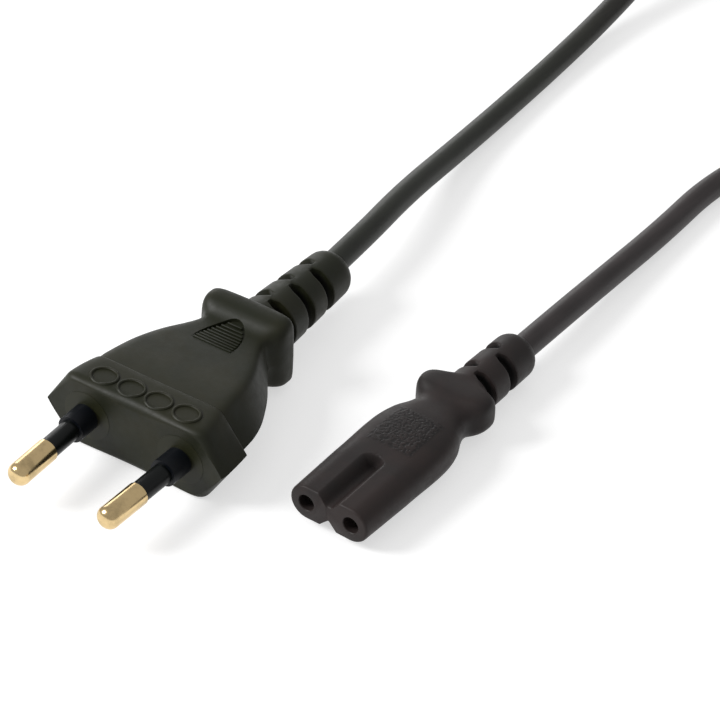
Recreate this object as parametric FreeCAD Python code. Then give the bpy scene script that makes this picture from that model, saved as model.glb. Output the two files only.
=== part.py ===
"""Mains lead: a figure-eight appliance connector, its two-core cord and a flat two-pin plug.

Millimetres, +Z up. The origin is on the surface that the lead lies on, under the middle of the
connector. The connector's mating face looks along -Y and the cord leaves it along +Y. The plug
lies on the same surface, to the left of the connector, and a tied coil holds most of the cord.
"""
import FreeCAD, Part
import math
import os

V = FreeCAD.Vector
X_AXIS = V(1, 0, 0)
Y_AXIS = V(0, 1, 0)
Z_AXIS = V(0, 0, 1)

# Places closer than this are one place; a cutter runs this far past what it cuts
SAME = 1e-6
PAST = 1.0

# Cord
CORD_DIA = 4.6
CORD_EXIT_RUN = 6.0
SHEATH_CLEARANCE = 0.05
CORE_DIA = 1.8
CORE_GAP = 0.3
CORE_RUN = 3.0
CORE_END_GAP = 0.35
CONDUCTOR_DIA = 0.9
CRIMP_GRIP = 3.0
ARC_SHARE = 0.45

# Connector, measured from its mating face
CON_LENGTH = 55.8
CON_HEIGHT = 9.0
CON_PITCH = 8.6
LOBE_DIA = 6.6
NOSE_LENGTH = 12.0
NOSE_EDGE = 0.4
NOTCH_WIDTH = 3.5
NOTCH_TIP_BELOW_AXIS = 1.4
NOTCH_ROUND = 0.5
GROOVE_ABOVE_AXIS = 1.9
GROOVE_WIDTH = 4.2
GROOVE_FLOOR_WIDTH = 1.8
ENTRY_DIA = 2.9
ENTRY_DEPTH = 2.0
BODY_WIDTH = 14.4
BODY_HEIGHT = 7.8
BODY_CORNER = 3.2
BODY_FRONT_EDGE = 0.4
SHOULDER_END = 26.0
WAIST_START = 29.6
WAIST_WIDTH = 10.2
WAIST_BLEND = 5.0
WAIST_DIP = 0.3
WAIST_DIP_LENGTH = 8.0
CON_BAR_START = 33.0
CON_BAR_LENGTH = 5.6
CON_BAR_WIDTH = 14.2
CON_BAR_CORNER = 2.6
CON_BAR_EDGE = 1.2
CON_RELIEF_DIA = 8.6
CON_RELIEF_END_DIA = 8.2
CON_RELIEF_DOME = 2.4
CON_RELIEF_CORE_DIA = 5.6
CON_SLOT_WIDTH = 1.7
CON_SLOT_FIRST = 41.0
CON_SLOT_PITCH = 6.5
CON_SLOT_STAGGER = 1.4
CON_SLOTS = 2
CON_SHEATH_DEPTH = 17.0
SLOT_WEB = 0.6

# Contact carrier and sockets inside the connector
CARRIER_DIA = 5.0
CARRIER_LENGTH = 13.2
CARRIER_WEB_HEIGHT = 1.8
CARRIER_WEB_RISE = 0.35
SOCKET_DIA = 3.5
SOCKET_BORE_DIA = 2.5
SOCKET_BORE_DEPTH = 12.0
SOCKET_SLIT = 0.4
SOCKET_SLIT_LENGTH = 9.0
CRIMP_DIA = 2.0
CRIMP_LENGTH = 5.0

# Plug, measured from its front face
PLUG_PLACE = V(-33.9, -34.6, 0)
PLUG_YAW = 2.5
PLUG_THICKNESS = 13.7
FLANGE_WIDTH = 35.3
FLANGE_FLAT_WIDTH = 26.6
FLANGE_LENGTH = 7.2
FLANGE_SIDE_ROUND = 1.5
FLANGE_TOP_ROUND = 1.6
FLANGE_REAR_ROUND = 2.0
PLUG_BAR_START = 28.4
PLUG_BAR_LENGTH = 5.8
PLUG_BAR_WIDTH = 16.8
PLUG_BAR_CORNER = 2.4
PLUG_BAR_EDGE = 1.5
PLUG_RELIEF_LENGTH = 59.4
PLUG_RELIEF_DIA = 11.0
PLUG_RELIEF_END_DIA = 8.6
PLUG_RELIEF_DOME = 2.6
PLUG_RELIEF_CORE_DIA = 6.0
PLUG_SLOT_WIDTH = 1.7
PLUG_SLOT_FIRST = 37.8
PLUG_SLOT_PITCH = 6.1
PLUG_SLOT_STAGGER = 1.9
PLUG_SLOTS = 3
PLUG_SHEATH_DEPTH = 24.0
BODY_TOP_EDGE = 1.6
BODY_PARTING_ROUND = 1.2
BODY_FRONT_TOP = 25.2
BODY_NECK_TOP = 12.4
BODY_FRONT_SIDE = 31.2
BODY_NECK_SIDE = 15.2
BODY_FRONT_HEIGHT = 13.5
BODY_NECK_HEIGHT = 10.6
BODY_OVERLAP = 1.5
BODY_SECTIONS = 6
BODY_DRAW_POWER = 1.8
GRIP_START = 21.4
GRIP_LENGTH = 6.2
GRIP_WIDTH = 9.0
GRIP_DEPTH = 0.45
GRIP_SLOTS = 9
GRIP_SLOT_SHARE = 0.5

# Pins, their sleeves and the bridge that carries them
PIN_DIA = 4.0
PIN_LENGTH = 19.0
PIN_BARE = 8.55
PIN_DOME = 1.5
PIN_BASE_PITCH = 18.6
PIN_TIP_PITCH = 17.5
PIN_SHANK_DIA = 3.0
SLEEVE_DIA = 3.6
SLEEVE_ANCHOR = 3.0
PIN_FLANGE_DIA = 5.0
PIN_FLANGE_LENGTH = 1.0
COLLAR_DIA = 4.8
COLLAR_LENGTH = 4.3
PAD_DIA = 9.0
PAD_DEPTH = 1.2
BRIDGE_LENGTH = 4.4
BRIDGE_HEIGHT = 7.4
BRIDGE_CORNER = 2.0

# Coil of spare cord and its tie
COIL_CENTRE = V(-16.4, 194.1, 0)
COIL_DIA = 51.0
COIL_RINGS = 4
COIL_LAYERS = 2
COIL_CORNER = 1.4
COIL_TAIL = 26.0
COIL_TAIL_RUN = 20.0
TIE_THICKNESS = 0.8
TIE_WIDTH = 7.0
TIE_CORNER = 2.4

# Worked out from the sizes above
CORD_R = CORD_DIA / 2
CON_FRONT = -CON_LENGTH / 2
CON_AXIS = CON_HEIGHT / 2
PLUG_AXIS = PLUG_THICKNESS / 2
PIN_LEAN = math.degrees(math.atan((PIN_BASE_PITCH - PIN_TIP_PITCH) / 2 / PIN_LENGTH))
BODY_START = FLANGE_LENGTH - BODY_OVERLAP
BODY_RUN = PLUG_BAR_START + BODY_OVERLAP - BODY_START
CARRIER_START = CON_FRONT + ENTRY_DEPTH
CARRIER_END = CARRIER_START + CARRIER_LENGTH
COIL_BOTTOM = TIE_THICKNESS
COIL_HEIGHT = COIL_LAYERS * CORD_DIA
COIL_OUTER_RING = COIL_DIA / 2 + (COIL_RINGS - 1) / 2 * CORD_DIA
COIL_LOW = COIL_BOTTOM + CORD_R
COIL_HIGH = COIL_LOW + (COIL_LAYERS - 1) * CORD_DIA


# Shared construction

def corner_arc(before, corner, after, radius):
    """Start, middle and end of the tangent arc that rounds a corner."""
    back = (before - corner).normalize()
    on = (after - corner).normalize()
    half = back.getAngle(on) / 2
    reach = radius / math.tan(half)
    centre = corner + (back + on).normalize() * (radius / math.sin(half))
    middle = centre + (corner - centre).normalize() * radius
    return corner + back * reach, middle, corner + on * reach


def rounded_wire(corners, radii):
    """Closed wire of straight sides joined by tangent arcs; a radius of 0 keeps a corner."""
    count = len(corners)
    arcs = []
    for i, (corner, radius) in enumerate(zip(corners, radii)):
        if radius:
            arcs.append(corner_arc(corners[i - 1], corner, corners[(i + 1) % count], radius))
        else:
            arcs.append((corner, None, corner))
    edges = []
    for i, (start, middle, end) in enumerate(arcs):
        if middle:
            edges.append(Part.Arc(start, middle, end).toShape())
        following = arcs[(i + 1) % count][0]
        if end.distanceToPoint(following) > SAME:
            edges.append(Part.LineSegment(end, following).toShape())
    return Part.Wire(edges)


def prism(corners, radii, direction):
    return Part.Face(rounded_wire(corners, radii)).extrude(direction)


def box(x0, x1, y0, y1, z0, z1):
    return Part.makeBox(x1 - x0, y1 - y0, z1 - z0, V(x0, y0, z0))


def rod(dia, y0, y1, x=0.0, z=0.0):
    """Cylinder along +Y."""
    return Part.makeCylinder(dia / 2, y1 - y0, V(x, y0, z), Y_AXIS)


def edges_where(shape, test):
    return [e for e in shape.Edges if test(e.BoundBox)]


def level_edges(shape, levels):
    """Edges that lie in one of the horizontal planes given."""
    def test(b):
        return b.ZLength < SAME and any(abs(b.ZMin - z) < SAME for z in levels)
    return edges_where(shape, test)


def upright_edges(shape):
    return edges_where(shape, lambda b: b.XLength < SAME and b.YLength < SAME)


def grip_bar(width, start, length, height, corner, edge):
    """Cross bar with rounded upright corners and softened top and bottom."""
    bar = box(-width / 2, width / 2, start, start + length, 0, height)
    bar = bar.makeFillet(corner, upright_edges(bar))
    return bar.makeFillet(edge, level_edges(bar, (0, height)))


def relief_cone(root_dia, end_dia, start, end, dome, z):
    """Tapered strain relief along +Y with a rounded end."""
    root = root_dia / 2
    tip = end_dia / 2
    profile = rounded_wire(
        [V(0, start, 0), V(root, start, 0), V(tip, end, 0), V(0, end, 0)], [0, 0, dome, 0]
    )
    cone = Part.Face(profile).revolve(V(0, 0, 0), Y_AXIS, 360)
    cone.translate(V(0, 0, z))
    return cone


def relief_slots(first, pitch, stagger, count, width, core_dia, outer_dia, z):
    """Half-round slots from the right and, staggered, from the left, with a web between them."""
    cuts = []
    for side in (1, -1):
        for i in range(count):
            start = first + i * pitch + (stagger if side < 0 else 0) - width / 2
            ring = rod(outer_dia, start, start + width, 0, z)
            ring = ring.cut(rod(core_dia, start, start + width, 0, z))
            near = sorted((side * SLOT_WEB / 2, side * outer_dia))
            half = box(near[0], near[1], start, start + width, z - outer_dia, z + outer_dia)
            cuts.append(ring.common(half))
    return cuts


def route_wire(points):
    """Straight runs joined by tangent arcs, each as large as its two runs allow."""
    edges = []
    here = points[0]
    for before, corner, after in zip(points, points[1:], points[2:]):
        shorter = min(before.distanceToPoint(corner), corner.distanceToPoint(after))
        half_turn = (corner - before).getAngle(after - corner) / 2
        radius = ARC_SHARE * shorter / math.tan(half_turn)
        start, middle, end = corner_arc(before, corner, after, radius)
        edges.append(Part.LineSegment(here, start).toShape())
        edges.append(Part.Arc(start, middle, end).toShape())
        here = end
    edges.append(Part.LineSegment(here, points[-1]).toShape())
    return Part.Wire(edges)


def tube_along(points, dia):
    along = points[1] - points[0]
    section = Part.Wire(Part.makeCircle(dia / 2, points[0], along))
    return route_wire(points).makePipeShell([section], True, False)


# Connector

def nose():
    """Figure-eight nose: two lobes, a groove between them on top and a notch below."""
    radius = LOBE_DIA / 2
    lobe = CON_PITCH / 2
    notch = NOTCH_WIDTH / 2
    low = CON_AXIS - radius
    top = CON_AXIS + radius
    groove = [
        V(lobe, 0, top), V(GROOVE_WIDTH / 2, 0, top),
        V(GROOVE_FLOOR_WIDTH / 2, 0, CON_AXIS + GROOVE_ABOVE_AXIS),
        V(-GROOVE_FLOOR_WIDTH / 2, 0, CON_AXIS + GROOVE_ABOVE_AXIS),
        V(-GROOVE_WIDTH / 2, 0, top), V(-lobe, 0, top),
    ]
    tip = V(0, 0, CON_AXIS - NOTCH_TIP_BELOW_AXIS)
    slope, bottom, rise = corner_arc(V(-notch, 0, low), tip, V(notch, 0, low), NOTCH_ROUND)
    outline = Part.Wire([
        Part.Arc(V(lobe, 0, low), V(lobe + radius, 0, CON_AXIS), V(lobe, 0, top)).toShape(),
        *[Part.LineSegment(a, b).toShape() for a, b in zip(groove, groove[1:])],
        Part.Arc(V(-lobe, 0, top), V(-lobe - radius, 0, CON_AXIS), V(-lobe, 0, low)).toShape(),
        Part.LineSegment(V(-lobe, 0, low), V(-notch, 0, low)).toShape(),
        Part.LineSegment(V(-notch, 0, low), slope).toShape(),
        Part.Arc(slope, bottom, rise).toShape(),
        Part.LineSegment(rise, V(notch, 0, low)).toShape(),
        Part.LineSegment(V(notch, 0, low), V(lobe, 0, low)).toShape(),
    ])
    solid = Part.Face(outline).extrude(Y_AXIS * NOSE_LENGTH)
    return solid.makeChamfer(NOSE_EDGE, edges_where(solid, lambda b: b.YMax < SAME))


def waist_dips():
    """Shallow saddles across the top and the bottom of the waist, in front of the grip bar."""
    radius = (WAIST_DIP_LENGTH ** 2 / 4 + WAIST_DIP ** 2) / (2 * WAIST_DIP)
    middle = CON_BAR_START - WAIST_DIP_LENGTH / 2
    lift = BODY_HEIGHT / 2 + radius - WAIST_DIP
    levels = (CON_AXIS + lift, CON_AXIS - lift)
    return [Part.makeCylinder(radius, BODY_WIDTH, V(-BODY_WIDTH / 2, middle, z), X_AXIS) for z in levels]


def connector_outside():
    """Nose, flat body with a waist, grip bar and slotted strain relief."""
    wide = BODY_WIDTH / 2
    waist = WAIST_WIDTH / 2
    back = CON_BAR_START + CON_BAR_LENGTH / 2
    right = [V(wide, NOSE_LENGTH, 0), V(wide, SHOULDER_END, 0), V(waist, WAIST_START, 0), V(waist, back, 0)]
    left = [V(-p.x, p.y, 0) for p in reversed(right)]
    radii = [0, WAIST_BLEND, WAIST_BLEND, 0]
    body = prism(right + left, radii + radii, Z_AXIS * BODY_HEIGHT)
    sides = edges_where(body, lambda b: b.ZLength < SAME and b.YLength > SAME)
    body = body.makeFillet(BODY_CORNER, sides)
    front = edges_where(body, lambda b: b.YLength < SAME and b.YMax < NOSE_LENGTH + SAME)
    body = body.makeChamfer(BODY_FRONT_EDGE, front)
    body.translate(V(0, 0, (CON_HEIGHT - BODY_HEIGHT) / 2))
    body = body.cut(waist_dips())

    bar = grip_bar(CON_BAR_WIDTH, CON_BAR_START, CON_BAR_LENGTH, CON_HEIGHT, CON_BAR_CORNER, CON_BAR_EDGE)
    relief = relief_cone(
        CON_RELIEF_DIA, CON_RELIEF_END_DIA, back, CON_LENGTH, CON_RELIEF_DOME, CON_AXIS
    )
    outside = nose().multiFuse([body, bar, relief])
    outside = outside.cut(
        relief_slots(
            CON_SLOT_FIRST, CON_SLOT_PITCH, CON_SLOT_STAGGER, CON_SLOTS, CON_SLOT_WIDTH,
            CON_RELIEF_CORE_DIA, CON_RELIEF_DIA + PAST, CON_AXIS,
        )
    )
    outside.translate(V(0, CON_FRONT, 0))
    return outside


def contact_carrier():
    """Hard insert: two barrels on the socket axes, joined by a web."""
    barrels = [
        rod(CARRIER_DIA, CARRIER_START, CARRIER_END, side * CON_PITCH / 2, CON_AXIS)
        for side in (-1, 1)
    ]
    middle = CON_AXIS + CARRIER_WEB_RISE
    half = CARRIER_WEB_HEIGHT / 2
    web = box(-CON_PITCH / 2, CON_PITCH / 2, CARRIER_START, CARRIER_END, middle - half, middle + half)
    return barrels[0].multiFuse([barrels[1], web]).removeSplitter()


def socket(side):
    """Brass socket with a slit bore in front and a crimp barrel behind."""
    x = side * CON_PITCH / 2
    shell = rod(SOCKET_DIA, CARRIER_START, CARRIER_END, x, CON_AXIS)
    barrel = rod(CRIMP_DIA, CARRIER_END, CARRIER_END + CRIMP_LENGTH, x, CON_AXIS)
    bore = rod(SOCKET_BORE_DIA, CARRIER_START, CARRIER_START + SOCKET_BORE_DEPTH, x, CON_AXIS)
    reach = SOCKET_DIA / 2
    half = SOCKET_SLIT / 2
    end = CARRIER_START + SOCKET_SLIT_LENGTH
    slit = box(x - half, x + half, CARRIER_START, end, CON_AXIS - reach, CON_AXIS + reach)
    grip = CARRIER_END + CRIMP_LENGTH - CRIMP_GRIP
    hollow = rod(CONDUCTOR_DIA, grip, CARRIER_END + CRIMP_LENGTH, x, CON_AXIS)
    return shell.fuse(barrel).cut([bore, slit, hollow])


def core_route(crimp_end, away, sheath_end, side):
    """Path of one core: it starts in its crimp, runs straight out and draws in to the sheath."""
    inner = side * (CORE_DIA + CORE_GAP) / 2
    return [
        crimp_end - away * CRIMP_GRIP,
        crimp_end + away * CORE_RUN,
        V(inner, sheath_end - CORE_END_GAP, crimp_end.z),
    ]


def core_pieces(route, crimp_end, away):
    """Space that one core takes, its insulation up to the crimp, and its bare conductor."""
    space = tube_along(route, CORE_DIA)
    conductor = tube_along(route, CONDUCTOR_DIA)
    bared = Part.makeCylinder(CORE_DIA, CRIMP_GRIP, crimp_end - away * CRIMP_GRIP, away)
    return space, space.cut([conductor, bared]), conductor


def connector():
    sheath_end = CON_FRONT + CON_LENGTH - CON_SHEATH_DEPTH
    parts = {}
    hollows = []
    barrels = []
    for side, name in ((-1, "left"), (1, "right")):
        x = side * CON_PITCH / 2
        crimp_end = V(x, CARRIER_END + CRIMP_LENGTH, CON_AXIS)
        route = core_route(crimp_end, Y_AXIS, sheath_end, side)
        space, insulation, conductor = core_pieces(route, crimp_end, Y_AXIS)
        parts["socket_" + name] = socket(side)
        parts["connector_core_" + name] = insulation
        parts["connector_wire_" + name] = conductor
        barrels.append(rod(SOCKET_DIA, CARRIER_START, CARRIER_END, x, CON_AXIS))
        hollows.append(rod(CRIMP_DIA, CARRIER_END, crimp_end.y, x, CON_AXIS))
        hollows.append(rod(ENTRY_DIA, CON_FRONT - PAST, CARRIER_START, x, CON_AXIS))
        hollows.append(space)
    carrier = contact_carrier()
    bore = rod(CORD_DIA + 2 * SHEATH_CLEARANCE, sheath_end, CON_FRONT + CON_LENGTH + PAST, 0, CON_AXIS)
    parts["connector_overmould"] = connector_outside().cut([carrier, bore] + hollows)
    parts["contact_carrier"] = carrier.cut(barrels)
    return parts


# Plug, built along +Y from its front face and then laid in place

def mirrored_section(y, top, side, half_height, edge, parting):
    """Six-cornered section, wider at the parting line than at the top and the bottom."""
    corners = [
        V(top, y, PLUG_AXIS + half_height), V(side, y, PLUG_AXIS), V(top, y, PLUG_AXIS - half_height),
        V(-top, y, PLUG_AXIS - half_height), V(-side, y, PLUG_AXIS), V(-top, y, PLUG_AXIS + half_height),
    ]
    return rounded_wire(corners, [edge, parting, edge, edge, parting, edge])


def plug_flange():
    """Six-sided flange whose side corners are rounded off towards the back."""
    section = mirrored_section(
        0, FLANGE_FLAT_WIDTH / 2, FLANGE_WIDTH / 2, PLUG_AXIS, FLANGE_TOP_ROUND, FLANGE_SIDE_ROUND
    )
    flange = Part.Face(section).extrude(Y_AXIS * FLANGE_LENGTH)
    half = FLANGE_WIDTH / 2
    plan = prism(
        [V(-half, 0, 0), V(half, 0, 0), V(half, FLANGE_LENGTH, 0), V(-half, FLANGE_LENGTH, 0)],
        [0, 0, FLANGE_REAR_ROUND, FLANGE_REAR_ROUND],
        Z_AXIS * PLUG_THICKNESS,
    )
    return flange.common(plan)


def eased(share):
    return share * share * (3 - 2 * share)


def body_half_height(share):
    return (BODY_FRONT_HEIGHT + (BODY_NECK_HEIGHT - BODY_FRONT_HEIGHT) * eased(share)) / 2


def plug_body():
    """Arched body: it draws in to a neck and its top falls towards the back."""
    sections = []
    for i in range(BODY_SECTIONS):
        share = i / (BODY_SECTIONS - 1)
        drawn = share ** BODY_DRAW_POWER
        top = (BODY_FRONT_TOP + (BODY_NECK_TOP - BODY_FRONT_TOP) * drawn) / 2
        side = (BODY_FRONT_SIDE + (BODY_NECK_SIDE - BODY_FRONT_SIDE) * drawn) / 2
        y = BODY_START + share * BODY_RUN
        sections.append(
            mirrored_section(y, top, side, body_half_height(share), BODY_TOP_EDGE, BODY_PARTING_ROUND)
        )
    return Part.makeLoft(sections, True, False)


def grip_slots():
    """Slots between the ribs of the finger grip; they fill an arch that ends at the bar."""
    pitch = GRIP_LENGTH / GRIP_SLOTS
    cuts = []
    for i in range(GRIP_SLOTS):
        start = GRIP_START + i * pitch
        half = GRIP_WIDTH / 2 * math.sqrt(1 - (i / GRIP_SLOTS) ** 2)
        floor = PLUG_AXIS + body_half_height((start - BODY_START) / BODY_RUN) - GRIP_DEPTH
        cuts.append(box(-half, half, start, start + GRIP_SLOT_SHARE * pitch, floor, PLUG_THICKNESS))
    return cuts


def plug_outside():
    bar = grip_bar(
        PLUG_BAR_WIDTH, PLUG_BAR_START, PLUG_BAR_LENGTH, PLUG_THICKNESS, PLUG_BAR_CORNER, PLUG_BAR_EDGE
    )
    relief = relief_cone(
        PLUG_RELIEF_DIA, PLUG_RELIEF_END_DIA, PLUG_BAR_START + PLUG_BAR_LENGTH / 2,
        PLUG_RELIEF_LENGTH, PLUG_RELIEF_DOME, PLUG_AXIS,
    )
    slots = relief_slots(
        PLUG_SLOT_FIRST, PLUG_SLOT_PITCH, PLUG_SLOT_STAGGER, PLUG_SLOTS, PLUG_SLOT_WIDTH,
        PLUG_RELIEF_CORE_DIA, PLUG_RELIEF_DIA + PAST, PLUG_AXIS,
    )
    body = plug_body().cut(grip_slots())
    return plug_flange().multiFuse([body, bar, relief]).cut(slots)


def lean(shape, side):
    """Tips a piece built on the Y axis onto a pin's axis; the pins draw together at the tips."""
    shape.rotate(V(0, 0, 0), Z_AXIS, side * -PIN_LEAN)
    shape.translate(V(side * PIN_BASE_PITCH / 2, 0, PLUG_AXIS))
    return shape


def pin_metal():
    """Brass pin along -Y: domed tip, bare length, shank, anchoring flange and crimp barrel."""
    profile = [
        (0, -PIN_LENGTH, 0), (PIN_DIA / 2, -PIN_LENGTH, PIN_DOME),
        (PIN_DIA / 2, PIN_BARE - PIN_LENGTH, 0), (PIN_SHANK_DIA / 2, PIN_BARE - PIN_LENGTH, 0),
        (PIN_SHANK_DIA / 2, SLEEVE_ANCHOR, 0), (PIN_FLANGE_DIA / 2, SLEEVE_ANCHOR, 0),
        (PIN_FLANGE_DIA / 2, SLEEVE_ANCHOR + PIN_FLANGE_LENGTH, 0),
        (CRIMP_DIA / 2, SLEEVE_ANCHOR + PIN_FLANGE_LENGTH, 0),
        (CRIMP_DIA / 2, BRIDGE_LENGTH + CRIMP_LENGTH, 0), (0, BRIDGE_LENGTH + CRIMP_LENGTH, 0),
    ]
    wire = rounded_wire([V(x, y, 0) for x, y, _ in profile], [r for _, _, r in profile])
    pin = Part.Face(wire).revolve(V(0, 0, 0), Y_AXIS, 360)
    end = BRIDGE_LENGTH + CRIMP_LENGTH
    return pin.cut(rod(CONDUCTOR_DIA, end - CRIMP_GRIP, end))


def pin_envelope():
    """What the pin and its sleeve take up inside the bridge and the moulding."""
    end = BRIDGE_LENGTH + CRIMP_LENGTH
    flange_end = SLEEVE_ANCHOR + PIN_FLANGE_LENGTH
    return rod(SLEEVE_DIA, -COLLAR_LENGTH - PAST, SLEEVE_ANCHOR).multiFuse(
        [rod(PIN_FLANGE_DIA, SLEEVE_ANCHOR, flange_end), rod(CRIMP_DIA, flange_end, end)]
    )


def pin_sleeve():
    start = PIN_BARE - PIN_LENGTH
    return rod(SLEEVE_DIA, start, SLEEVE_ANCHOR).cut(rod(PIN_SHANK_DIA, start, SLEEVE_ANCHOR))


def bridge_blank():
    """Inner plate that carries both pins, with a pad and a collar round each."""
    half = PIN_BASE_PITCH / 2 + BRIDGE_HEIGHT / 2
    rise = BRIDGE_HEIGHT / 2
    corners = [
        V(-half, PAD_DEPTH, PLUG_AXIS - rise), V(half, PAD_DEPTH, PLUG_AXIS - rise),
        V(half, PAD_DEPTH, PLUG_AXIS + rise), V(-half, PAD_DEPTH, PLUG_AXIS + rise),
    ]
    plate = prism(corners, [BRIDGE_CORNER] * 4, Y_AXIS * (BRIDGE_LENGTH - PAD_DEPTH))
    pads = [rod(PAD_DIA, 0, PAD_DEPTH, side * PIN_BASE_PITCH / 2, PLUG_AXIS) for side in (-1, 1)]
    return plate.multiFuse(pads)


def plug():
    sheath_end = PLUG_RELIEF_LENGTH - PLUG_SHEATH_DEPTH
    reach = BRIDGE_LENGTH + CRIMP_LENGTH
    parts = {}
    envelopes = []
    collars = []
    spaces = []
    for side, name in ((-1, "left"), (1, "right")):
        away = FreeCAD.Rotation(Z_AXIS, side * -PIN_LEAN).multVec(Y_AXIS)
        crimp_end = V(side * PIN_BASE_PITCH / 2, 0, PLUG_AXIS) + away * reach
        route = core_route(crimp_end, away, sheath_end, side)
        space, insulation, conductor = core_pieces(route, crimp_end, away)
        parts["pin_" + name] = lean(pin_metal(), side)
        parts["pin_sleeve_" + name] = lean(pin_sleeve(), side)
        parts["plug_core_" + name] = insulation
        parts["plug_wire_" + name] = conductor
        envelopes.append(lean(pin_envelope(), side))
        collars.append(lean(rod(COLLAR_DIA, -COLLAR_LENGTH, PAD_DEPTH), side))
        spaces.append(space)
    blank = bridge_blank().multiFuse(collars)
    bore = rod(CORD_DIA + 2 * SHEATH_CLEARANCE, sheath_end, PLUG_RELIEF_LENGTH + PAST, 0, PLUG_AXIS)
    parts["plug_overmould"] = plug_outside().cut([blank, bore] + envelopes + spaces)
    parts["pin_bridge"] = blank.cut(envelopes)
    for shape in parts.values():
        shape.rotate(V(0, 0, 0), Z_AXIS, PLUG_YAW)
        shape.translate(PLUG_PLACE)
    return parts


# Cord, coil and tie

def connector_side_route():
    """From inside the connector's strain relief to the coil's first tail."""
    tail = V(COIL_CENTRE.x + COIL_OUTER_RING, COIL_CENTRE.y - COIL_TAIL, COIL_LOW)
    relief_end = CON_FRONT + CON_LENGTH
    return [
        V(0, relief_end - CON_SHEATH_DEPTH, CON_AXIS),
        V(0, relief_end + CORD_EXIT_RUN, CON_AXIS),
        V(-0.6, 54.1, 3.3),
        V(-1.0, 74.1, CORD_R),
        V(-1.8, 93.1, CORD_R),
        V(2.2, 111.1, CORD_R),
        V(9.6, 129.1, 2.6),
        tail - Y_AXIS * COIL_TAIL_RUN,
        tail,
    ]


def plug_side_route():
    """From inside the plug's strain relief to the coil's second tail."""
    turn = FreeCAD.Rotation(Z_AXIS, PLUG_YAW)
    tail = V(COIL_CENTRE.x - COIL_OUTER_RING, COIL_CENTRE.y - COIL_TAIL, COIL_HIGH)
    return [
        PLUG_PLACE + turn.multVec(V(0, PLUG_RELIEF_LENGTH - PLUG_SHEATH_DEPTH, PLUG_AXIS)),
        PLUG_PLACE + turn.multVec(V(0, PLUG_RELIEF_LENGTH + CORD_EXIT_RUN, PLUG_AXIS)),
        V(-41.2, 50.1, 6.0),
        V(-44.2, 70.1, 3.2),
        V(-46.0, 90.1, CORD_R),
        V(-47.5, 110.1, CORD_R),
        V(-48.5, 129.1, 3.6),
        tail - Y_AXIS * COIL_TAIL_RUN,
        tail,
    ]


def coil():
    """Outer shape of the coiled turns, with the two tails that run off it."""
    outer = COIL_OUTER_RING + CORD_R
    inner = outer - COIL_RINGS * CORD_DIA
    top = COIL_BOTTOM + COIL_HEIGHT
    corners = [
        V(inner + COIL_CORNER, 0, COIL_BOTTOM), V(outer - COIL_CORNER, 0, COIL_BOTTOM),
        V(outer, 0, COIL_BOTTOM + COIL_CORNER), V(outer, 0, top - COIL_CORNER),
        V(outer - COIL_CORNER, 0, top), V(inner + COIL_CORNER, 0, top),
        V(inner, 0, top - COIL_CORNER), V(inner, 0, COIL_BOTTOM + COIL_CORNER),
    ]
    section = Part.makePolygon(corners + corners[:1])
    ring = Part.Face(section).revolve(V(0, 0, 0), Z_AXIS, 360)
    first = rod(CORD_DIA, -COIL_TAIL, 0, COIL_OUTER_RING, COIL_LOW)
    second = rod(CORD_DIA, -COIL_TAIL, 0, -COIL_OUTER_RING, COIL_HIGH)
    body = ring.multiFuse([first, second])
    body.translate(COIL_CENTRE)
    return body, ring.translated(COIL_CENTRE)


def coil_tie(ring):
    """Flat tie closed round the far side of the coil."""
    outer = COIL_OUTER_RING + CORD_R + TIE_THICKNESS
    inner = outer - COIL_RINGS * CORD_DIA - 2 * TIE_THICKNESS
    top = COIL_BOTTOM + COIL_HEIGHT + TIE_THICKNESS
    half = TIE_WIDTH / 2
    corners = [V(-half, inner, 0), V(-half, outer, 0), V(-half, outer, top), V(-half, inner, top)]
    block = prism(corners, [TIE_CORNER] * 4, X_AXIS * TIE_WIDTH)
    block.translate(COIL_CENTRE)
    return block.cut(ring)


def cord():
    turns, ring = coil()
    return {
        "cord_connector_side": tube_along(connector_side_route(), CORD_DIA),
        "cord_plug_side": tube_along(plug_side_route(), CORD_DIA),
        "cord_coil": turns,
        "coil_tie": coil_tie(ring),
    }


def main():
    os.makedirs("parts", exist_ok=True)
    parts = {**connector(), **plug(), **cord()}
    for name, shape in parts.items():
        if not shape.isValid() or len(shape.Solids) != 1:
            raise ValueError("%s is not one valid solid" % name)
        shape.exportStep("parts/%s.step" % name)


main()
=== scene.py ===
"""Looks of a mains lead: figure-eight connector, round cord and flat two-pin plug.

Lengths are in millimetres while a piece is modelled, and become metres when it is finished.
"""
import math

import bmesh
import bpy
from bpy.props import FloatProperty, FloatVectorProperty, IntProperty, PointerProperty
from mathutils import Matrix, Vector


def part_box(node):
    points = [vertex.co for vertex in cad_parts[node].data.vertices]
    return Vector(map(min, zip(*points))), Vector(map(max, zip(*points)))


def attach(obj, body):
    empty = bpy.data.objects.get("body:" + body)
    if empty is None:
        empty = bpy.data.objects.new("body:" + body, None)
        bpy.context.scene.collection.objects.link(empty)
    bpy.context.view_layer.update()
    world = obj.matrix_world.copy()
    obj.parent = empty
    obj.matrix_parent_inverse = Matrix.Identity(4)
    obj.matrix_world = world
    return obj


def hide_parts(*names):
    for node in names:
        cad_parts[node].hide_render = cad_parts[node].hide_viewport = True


bl_info = {
    "name": "Figure-eight mains lead",
    "version": (1, 0, 0),
    "blender": (4, 5, 0),
    "location": "3D View > Sidebar > Lead",
    "description": "Builds the connector, cord and plug of a mains lead round its solids",
    "category": "Add Mesh",
}

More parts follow.
